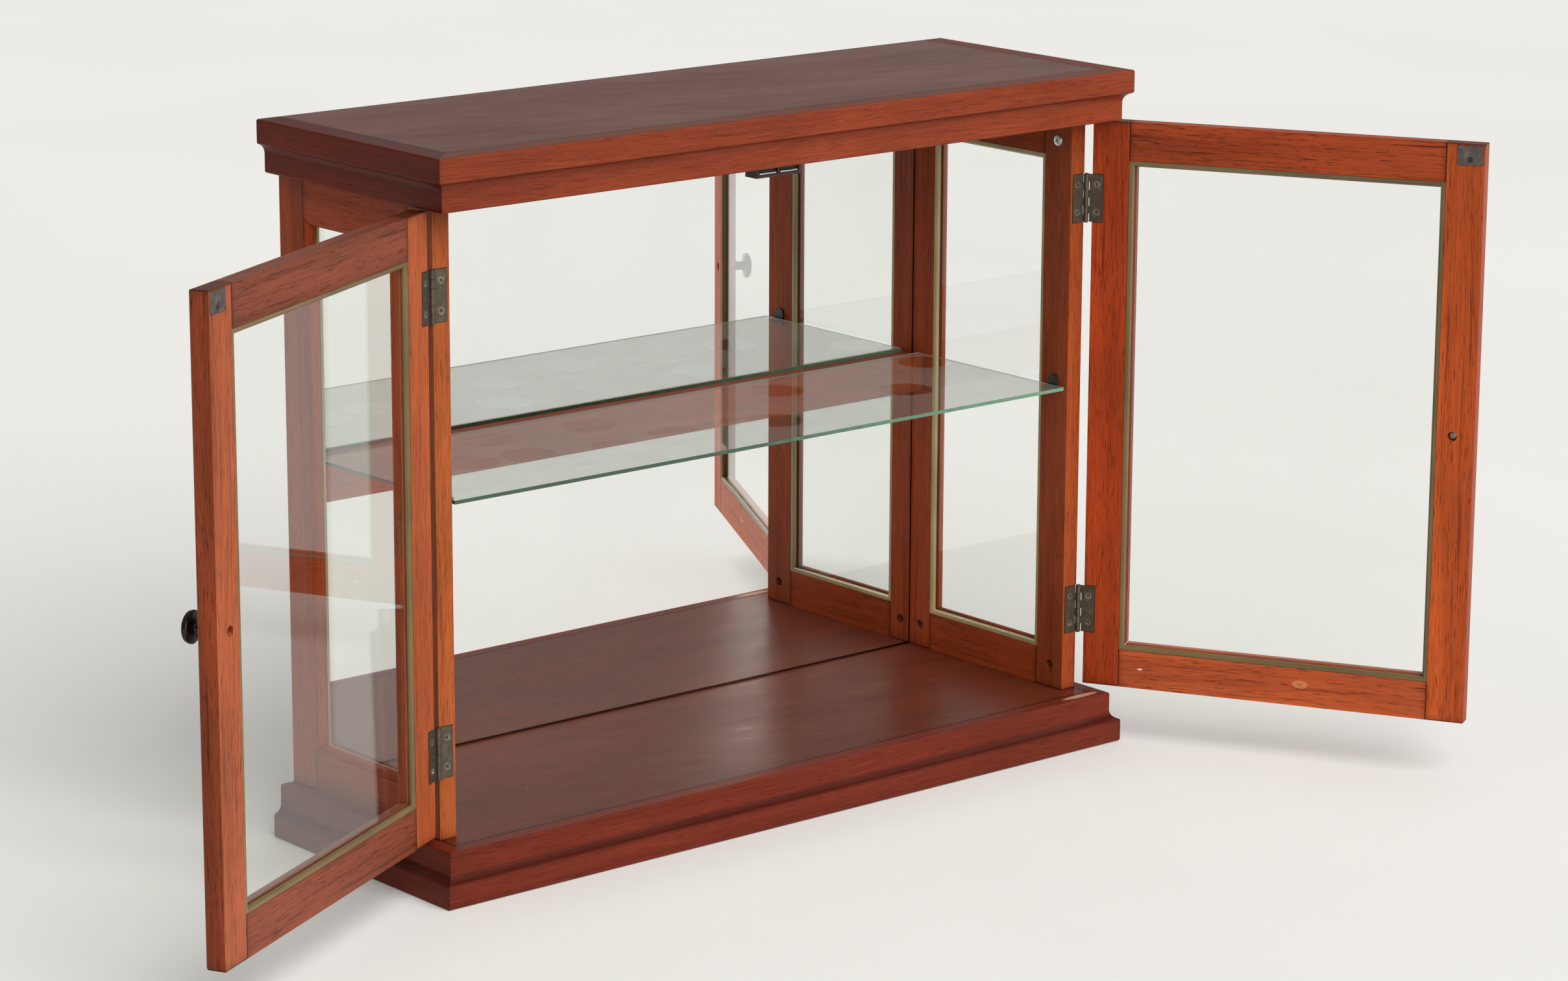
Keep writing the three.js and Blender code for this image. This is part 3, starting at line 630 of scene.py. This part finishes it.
def make_piece(name, shapes, material, body):
    """One object from several closed shapes, riding on a body."""
    points, faces, start = [], [], 0
    for shape_points, shape_faces in shapes:
        points.append(shape_points)
        faces += [[start + corner for corner in face] for group in shape_faces for face in group]
        start += len(shape_points)
    mesh = bpy.data.meshes.new(name)
    mesh.from_pydata(np.concatenate(points).tolist(), [], faces)
    mesh.materials.append(material)
    mesh.polygons.foreach_set("use_smooth", np.ones(len(mesh.polygons), bool))
    mesh.set_sharp_from_angle(angle=math.radians(35))
    mesh.update()
    piece = bpy.data.objects.new(name, mesh)
    bpy.context.scene.collection.objects.link(piece)
    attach(piece, body)


# ---- Finishing the CAD pieces: merged points, smooth curves, slightly rounded edges ----
def smooth_curves():
    """Geometry nodes that merge a CAD mesh's loose corners, drop its stored normals, and shade it smooth
    but for sharp edges."""
    group = bpy.data.node_groups.new("smooth_curves", "GeometryNodeTree")
    group.interface.new_socket("Geometry", in_out="INPUT", socket_type="NodeSocketGeometry")
    group.interface.new_socket("Geometry", in_out="OUTPUT", socket_type="NodeSocketGeometry")
    kinds = (
        "NodeGroupInput",
        "GeometryNodeMergeByDistance",
        "GeometryNodeRemoveAttribute",
        "GeometryNodeSetShadeSmooth",
        "GeometryNodeSetShadeSmooth",
        "NodeGroupOutput",
    )
    chain = [group.nodes.new(kind) for kind in kinds]
    for first, second in zip(chain, chain[1:]):
        group.links.new(first.outputs[0], second.inputs[0])
    chain[1].inputs["Distance"].default_value = 2e-6
    chain[2].inputs["Name"].default_value = "custom_normal"
    chain[3].domain, chain[4].domain = "FACE", "EDGE"
    angle = group.nodes.new("GeometryNodeInputMeshEdgeAngle")
    gentle = group.nodes.new("FunctionNodeCompare")
    gentle.data_type, gentle.operation = "FLOAT", "LESS_THAN"
    gentle.inputs[1].default_value = math.radians(32)
    group.links.new(angle.outputs["Unsigned Angle"], gentle.inputs[0])
    group.links.new(gentle.outputs["Result"], chain[4].inputs["Shade Smooth"])
    return group


curves = smooth_curves()


def ease(name, width, segments=2):
    """Rounds a CAD piece's edges by a small width, through modifiers only."""
    piece = nodes[name]
    piece.modifiers.new("smooth_curves", "NODES").node_group = curves
    if width:
        rounded = piece.modifiers.new("rounded_edges", "BEVEL")
        rounded.width = width
        rounded.segments = segments
        rounded.limit_method = "ANGLE"
        rounded.angle_limit = math.radians(40)
        level = piece.modifiers.new("level_faces", "WEIGHTED_NORMAL")
        level.keep_sharp = True


def finish_node(name, material):
    nodes[name].material_slots[0].link = "OBJECT"
    nodes[name].material_slots[0].material = material


# ---- Wood ----
FRAME_STAIN = (0.32, 0.052, 0.012), (0.19, 0.027, 0.006)
TOP_STAIN = (0.210, 0.038, 0.014), (0.145, 0.024, 0.009)
BASE_STAIN = (0.138, 0.020, 0.0085), (0.085, 0.011, 0.005)
VENEER_STAIN = (0.115, 0.023, 0.009), (0.066, 0.012, 0.005)
BOARD_STAINS_AND_PAINTED_SHADE = {  # each door board took the stain in its own way; the left top moulding's darker colours are painted shade
    "right_door_hinge_stile": ((0.37, 0.047, 0.0075), (0.24, 0.029, 0.005)),
    "right_door_free_stile": ((0.49, 0.085, 0.016), (0.31, 0.050, 0.010)),
    "right_door_top_rail": ((0.35, 0.056, 0.014), (0.16, 0.024, 0.007)),
    "right_door_bottom_rail": ((0.50, 0.098, 0.028), (0.32, 0.056, 0.015)),
    "left_door_hinge_stile": ((0.39, 0.086, 0.027), (0.26, 0.055, 0.017)),
    "left_door_free_stile": ((0.35, 0.083, 0.030), (0.20, 0.043, 0.014)),
    "left_door_top_rail": ((0.21, 0.052, 0.026), (0.12, 0.027, 0.012)),
    "left_door_bottom_rail": ((0.22, 0.052, 0.024), (0.13, 0.027, 0.011)),
    "right_side_front_stile": ((0.28, 0.054, 0.014), (0.18, 0.031, 0.009)),
    "left_side_front_stile": ((0.34, 0.085, 0.022), (0.24, 0.052, 0.013)),
    # darker than TOP_STAIN: painted shade on the case's left side
    "top_moulding_left": ((0.115, 0.014, 0.004), (0.075, 0.008, 0.0025)),
}
BARE_WOOD = (0.50, 0.29, 0.17)
# height of the base moulding's hollow, darkened there by gathered stain and painted shade
BASE_HOLLOW = 21.0 * MM
# upward faces of the top mouldings are darkened by this: painted shade
TOP_FACE_PAINTED_SHADE = (0.62, 0.66, 0.68)
DOOR_EDGE_SHADE = (0.66, 0.52, 0.42)
# the side beads are the doors' olive plastic painted paler: painted highlight
DOOR_BEAD, SIDE_BEAD_PAINTED_LIGHT = (0.160, 0.108, 0.040), (0.40, 0.31, 0.15)
BEAD_ROUND, BOARD_ROUND, DOOR_ROUND = 0.12 * MM, 0.30 * MM, 0.55 * MM

wood_marks = {
    "base_moulding_front": [((0.3165, 0.0045, 0.042), (0.020, 0.0036, 0.003), BARE_WOOD, 0.75)],
}
pivot, turn = door_place(1)
knot = pivot + turn @ Vector((-0.1934, DOOR_INNER_FACE, 0.0647))
nick = pivot + turn @ Vector((-0.0551, DOOR_INNER_FACE, 0.0632))
wood_marks["right_door_bottom_rail"] = [
    (knot, (0.007, 0.007, 0.0034), (0.62, 0.27, 0.12), 0.55),
    (knot, (0.0026, 0.0026, 0.0012), (0.30, 0.09, 0.03), 0.5),
    (nick, (0.0026, 0.0026, 0.0008), (0.75, 0.66, 0.58), 0.85),
]

for number, name in enumerate(sorted(nodes)):
    seed = 11.7 * number + 0.37
    rounding, segments = (DOOR_ROUND, 3) if "door" in name else (BOARD_ROUND, 2)
    look = {"marks": wood_marks.get(name, ())}
    if "moulding" in name:
        # top_moulding_left takes darker colours here: painted shade
        stain = BOARD_STAINS_AND_PAINTED_SHADE.get(name, BASE_STAIN if name.startswith("base") else TOP_STAIN)
        look |= {"figure": 0.2, "pores": 0.45, "gloss": 0.34, "coat": 0.03, "joints": 0.3}
        look["shine"] = 0.07 if name.endswith("left") else 0.1
        if name.startswith("top"):
            # the top mouldings' upward faces are darkened: painted shade
            look["across"] = UP, TOP_FACE_PAINTED_SHADE
        else:
            # the base mouldings' hollow is darkened: gathered stain and painted shade
            look["hollow"] = BASE_HOLLOW
        material = stained_wood("moulding_" + name, board_axes(name), seed, *stain, **look)
    elif name.endswith(("stile", "rail")):
        stain = BOARD_STAINS_AND_PAINTED_SHADE.get(name, FRAME_STAIN)
        look |= {"figure": 0.45, "pores": 0.55, "gloss": 0.38, "joints": 0.85}
        if "door" in name:
            look |= {"figure": 0.85 if name == "right_door_top_rail" else 0.58, "pores": 0.7}
        if "door" in name and name.endswith("stile"):
            look["across"] = tuple(turn_of(name) @ Vector((1, 0, 0))), DOOR_EDGE_SHADE
        if "side" in name:
            look["shine"] = 0.08
        material = stained_wood("frame_" + name, board_axes(name), seed, *stain, **look)
    elif name.endswith("panel"):
        dust = 1.0 if name == "floor_panel" else 0.35
        material = veneered_panel("veneer_" + name, board_axes(name), seed, *VENEER_STAIN, dust)
    elif name.endswith("retainer"):
        rounding = BEAD_ROUND
        # side beads take the paler colour, which is painted highlight
        shade = DOOR_BEAD if "door" in name else SIDE_BEAD_PAINTED_LIGHT
        material = retainer_bead("bead_" + name, board_axes(name), shade)
    else:
        continue
    finish_node(name, material)
    ease(name, rounding, segments)

# ---- Glass, mirror, back ----
pane = clear_glass("pane_glass", (0.955, 0.975, 0.955))
for name in ("left_door_glass", "right_door_glass", "left_side_glass", "right_side_glass"):
    finish_node(name, pane)
    ease(name, 0)
finish_node("glass_shelf", clear_glass("shelf_glass", (0.93, 0.965, 0.935), edge=(0.045, 0.088, 0.056)))
ease("glass_shelf", 0.0004, 3)
finish_node("mirror", silvered_mirror())
ease("mirror", 0)
finish_node("back_board", hardboard())
ease("back_board", 0)

# ---- Metal and plastic fittings ----
pewter = aged_metal("hinge_pewter", (0.100, 0.082, 0.058), (0.150, 0.126, 0.096), 0.42)
steel = aged_metal("screw_steel", (0.16, 0.14, 0.11), (0.34, 0.31, 0.26), 0.34)
zinc = aged_metal("zinc_screw", (0.50, 0.52, 0.53), (0.70, 0.72, 0.72), 0.26)
gunmetal = aged_metal("support_gunmetal", (0.055, 0.055, 0.055), (0.11, 0.11, 0.11), 0.36)
bronze = aged_metal("knob_bronze", (0.030, 0.021, 0.018), (0.060, 0.044, 0.036), 0.22, metallic=0.85)
strike_metal = aged_metal("strike_pewter", (0.130, 0.108, 0.100), (0.22, 0.19, 0.175), 0.38)
catch_brown = moulded_plastic("catch_plastic", (0.045, 0.013, 0.008))
ferrite = moulded_plastic("magnet_ferrite", (0.012, 0.012, 0.012), 0.6)
for name in nodes:
    if "hinge_" in name and not name.endswith("stile"):
        finish_node(name, pewter)
        ease(name, 0.00010)
    elif name.endswith("shelf_support"):
        finish_node(name, gunmetal)
        ease(name, 0.00025, 3)
    elif name.endswith("knob"):
        finish_node(name, bronze)
        ease(name, 0)
    elif name.endswith("strike_plate"):
        finish_node(name, strike_metal)
        ease(name, 0.00018)
finish_node("magnetic_catch", catch_brown)
ease("magnetic_catch", 0.0003, 3)

hinge_screw = crossed_head(3.0 * MM, 0.12 * MM, 0.02 * MM, 1.15 * MM, 1.5 * MM)
strike_screw = crossed_head(2.7 * MM, 0.26 * MM, 0.06 * MM, 0.3 * MM, 1.5 * MM)  # must clear the catch
knob_screw = crossed_head(3.3 * MM, 0.7 * MM, 1.3 * MM, 0.1 * MM, 1.7 * MM)
pan_screw = crossed_head(4.7 * MM, 0.8 * MM, 1.3 * MM, 0.1 * MM, 2.0 * MM)
spins = iter(np.random.default_rng(7).uniform(0, math.pi, 60))

case_screws = [
    set_on(
        hinge_screw,
        (side * (PIN_OUT - HINGE_SCREW_REACH), CASE_LEAF_FACE + 0.04 * MM, middle + rise),
        (0, -1, 0),
        spin=next(spins),
    )
    for side in (1, -1)
    for middle in HINGE_MIDDLES
    for rise in (HINGE_SCREW_RISE, -HINGE_SCREW_RISE)
]
make_piece("case_leaf_screws", case_screws, steel, "case")
for side, word in ((1, "right"), (-1, "left")):
    leaf = DOOR_LEAF_FACE - 0.04 * MM
    leaf_screws = [
        on_door(side, hinge_screw, HINGE_SCREW_REACH, middle + rise, leaf, next(spins))
        for middle in HINGE_MIDDLES
        for rise in (HINGE_SCREW_RISE, -HINGE_SCREW_RISE)
    ]
    make_piece(word + "_door_leaf_screws", leaf_screws, steel, word + "_door")
    make_piece(
        word + "_door_knob_screw",
        [on_door(side, knob_screw, KNOB_REACH, KNOB_HEIGHT, DOOR_INNER_FACE - 5.9 * MM, next(spins))],
        zinc if side > 0 else steel,
        word + "_door",
    )
    plate = DOOR_INNER_FACE + 0.2 * MM
    make_piece(
        word + "_door_strike_screw",
        [on_door(side, strike_screw, STRIKE_REACH, STRIKE_SCREW_HEIGHT, plate, next(spins))],
        gunmetal,
        word + "_door",
    )

fixing_bolt = socket_head(3.6 * MM, 3.0 * MM, 1.9 * MM)
bolts, pans = [], []
for side in (1, -1):
    for place in FIXING_PLACES:
        for height in FIXING_HEIGHTS:
            if height == FIXING_HEIGHTS[1] and place == FIXING_PLACES[0]:
                head, fixings, sunk = pan_screw, pans, -0.02 * MM
            else:
                head, fixings, sunk = fixing_bolt, bolts, 6.0 * MM
            spot = (side * (SIDE_INNER + sunk), place, height)
            fixings.append(set_on(head, spot, (-side, 0, 0), spin=next(spins)))
make_piece("side_fixing_bolts", bolts, steel, "case")
make_piece("side_top_screws", pans, zinc, "case")

# ---- Magnets: two steel poles either side of a ferrite block, in each pocket of the catch ----
MAGNET_OFFSET = 10.7 * MM  # each magnet's middle, to each side of the case's middle
POLE_LIFT = 2.95 * MM  # the poles, above and below it
POLE_HALF, CORE_HALF = (8.6 * MM, 0.75 * MM, 5.0 * MM), (8.2 * MM, 2.0 * MM, 4.7 * MM)
middle_height = (CATCH_BOTTOM + CATCH_TOP) / 2
pole, core = soft_block(POLE_HALF, 0.25 * MM), soft_block(CORE_HALF, 0.25 * MM)
poles, cores = [], []
for x in (MAGNET_OFFSET, -MAGNET_OFFSET):
    cores.append(set_on(core, (x, CATCH_FRONT + 5.9 * MM, middle_height), (0, -1, 0)))
    for lift in (-POLE_LIFT, POLE_LIFT):
        poles.append(set_on(pole, (x, CATCH_FRONT + 5.3 * MM, middle_height + lift), (0, -1, 0)))
make_piece("catch_magnet_poles", poles, zinc, "case")
make_piece("catch_magnet_cores", cores, ferrite, "case")

# ---- Brads that hold the back board, and the filled nail holes in the doors' corners ----
BRAD_SIDES, BRAD_HEIGHTS = 317 * MM, (65 * MM, 505 * MM)
BRAD_ENDS, BRAD_REACH = (46 * MM, 524.5 * MM), 270 * MM
NAIL_REACH, NAIL_HEIGHTS = 319.3 * MM, {1: 57.2 * MM, -1: 61.0 * MM}


def low_plug(radii, heights, top):
    """A small round head turned from its radii and heights, all in mm, closed at its top and bottom."""
    rings = turned_rings(np.multiply(radii, MM), np.multiply(heights, MM), 16)
    return closed_rings(rings, (0, 0, top * MM), (0, 0, heights[-1] * MM))


brad = low_plug([0.5, 0.95, 1.1, 1.1], [0.30, 0.22, 0.08, -0.3], 0.33)
brad_places = [(side * BRAD_SIDES, z) for side in (1, -1) for z in np.linspace(*BRAD_HEIGHTS, 6)]
brad_places += [(x, z) for z in BRAD_ENDS for x in np.linspace(-BRAD_REACH, BRAD_REACH, 7)]
brads = [set_on(brad, (x, BACK_FACE - 0.35 * MM, z), (0, 1, 0)) for x, z in brad_places]
make_piece("back_board_brads", brads, steel, "case")
plug = low_plug([0.3, 0.6, 0.75, 0.75], [-0.10, -0.06, 0.015, -0.4], -0.12)
dark_filler = moulded_plastic("nail_filler", (0.020, 0.007, 0.004), 0.7)
for side, word in ((1, "right"), (-1, "left")):
    filled = on_door(side, plug, NAIL_REACH, NAIL_HEIGHTS[side], DOOR_INNER_FACE)
    make_piece(word + "_door_nail_hole", [filled], dark_filler, word + "_door")

# ---- Dust on the shelf ----
film_low = np.array([-SHELF_HALF_WIDTH + 1 * MM, SHELF_FRONT + 1 * MM, SHELF_TOP + 0.02 * MM])
film_high = np.array([SHELF_HALF_WIDTH - 1 * MM, SHELF_BACK - 1 * MM, SHELF_TOP + 0.05 * MM])
film_half = (film_high - film_low) / 2
film_points, film_faces = soft_block(film_half, film_half[2] * 0.5)
film = film_points + (film_low + film_high) / 2, film_faces
make_piece("shelf_dust", [film], settled_dust(), "shelf")


# ---- Floor, light and camera ----
def pale_floor():
    """A matt pale floor with a faint slow change of tone."""
    finish = Finish("pale_floor")
    at = finish.place()
    cloudy = finish.noise(at, (1.6, 1.1, 1.0), 1.0, 4.0, 0.5, 0.6)
    worn = finish.ramp(cloudy, 0.3, 0.7)
    finish.set(
        base_color=finish.mix(worn, rgb(0.77, 0.765, 0.75), rgb(0.735, 0.73, 0.715)),
        roughness=finish.ramp(cloudy, 0.3, 0.7, 0.6, 0.7),
        specular_ior_level=0.2,
    )
    return finish.material


floor_mesh = bpy.data.meshes.new("studio_floor")
floor_corners = [(30 * x, 30 * y, -0.2 * MM) for x, y in ((-1, -1), (1, -1), (1, 1), (-1, 1))]
floor_mesh.from_pydata(floor_corners, [], [(0, 1, 2, 3)])
floor_mesh.materials.append(pale_floor())
studio_floor = bpy.data.objects.new("studio_floor", floor_mesh)
bpy.context.scene.collection.objects.link(studio_floor)

world = bpy.data.worlds.new("soft_studio")
bpy.context.scene.world = world
world.use_nodes = True
sky = world.node_tree
background = sky.nodes["Background"]
direction = sky.nodes.new("ShaderNodeTexCoord")
split = sky.nodes.new("ShaderNodeSeparateXYZ")
sky.links.new(direction.outputs["Generated"], split.inputs[0])


def glow(part, values):
    """The sky's strength from one part of the direction, run from its first value to its second."""
    fall = sky.nodes.new("ShaderNodeMapRange")
    sky.links.new(split.outputs[part], fall.inputs[0])
    for socket, value in zip(fall.inputs[1:5], values):
        socket.default_value = value
    return fall.outputs[0]


from_right, from_above = (-1.0, 1.0, 0.05, 0.44), (0.30, 1.0, 0.0, 0.45)
both_glows = sky.nodes.new("ShaderNodeMath")
sky.links.new(glow(0, from_right), both_glows.inputs[0])
sky.links.new(glow(2, from_above), both_glows.inputs[1])
sky.links.new(both_glows.outputs[0], background.inputs["Strength"])
background.inputs["Color"].default_value = (1.0, 0.99, 0.97, 1.0)

key = bpy.data.lights.new("front_softbox", "SUN")
key.energy = 3.6
key.angle = math.radians(60)
key.color = (1.0, 0.985, 0.96)
key_object = bpy.data.objects.new("front_softbox", key)
bpy.context.scene.collection.objects.link(key_object)
elevation, azimuth = math.radians(37), math.radians(4)
level = math.cos(elevation)
toward_key = Vector((-math.sin(azimuth) * level, -math.cos(azimuth) * level, math.sin(elevation)))
key_object.rotation_euler = toward_key.to_track_quat("Z", "Y").to_euler()

camera = bpy.data.cameras.new("camera")
camera_object = bpy.data.objects.new("camera", camera)
bpy.context.scene.collection.objects.link(camera_object)
camera.sensor_width = 36
camera.lens = 106.48
camera.clip_start, camera.clip_end = 0.05, 100
yaw, pitch, roll = math.radians(-40.259), math.radians(-13.686), math.radians(0.256)
forward = Vector((-math.sin(yaw) * math.cos(pitch), math.cos(yaw) * math.cos(pitch), math.sin(pitch)))
right = Vector((math.cos(yaw), math.sin(yaw), 0))
up = right.cross(forward)
rolled_right = math.cos(roll) * right + math.sin(roll) * up
rolled_up = math.cos(roll) * up - math.sin(roll) * right
place = Matrix((rolled_right, rolled_up, -forward)).transposed().to_4x4()
place.translation = (-2.29445, -2.69234, 1.13053)
camera_object.matrix_world = place
bpy.context.scene.camera = camera_object
bpy.context.scene.view_settings.view_transform = "Standard"
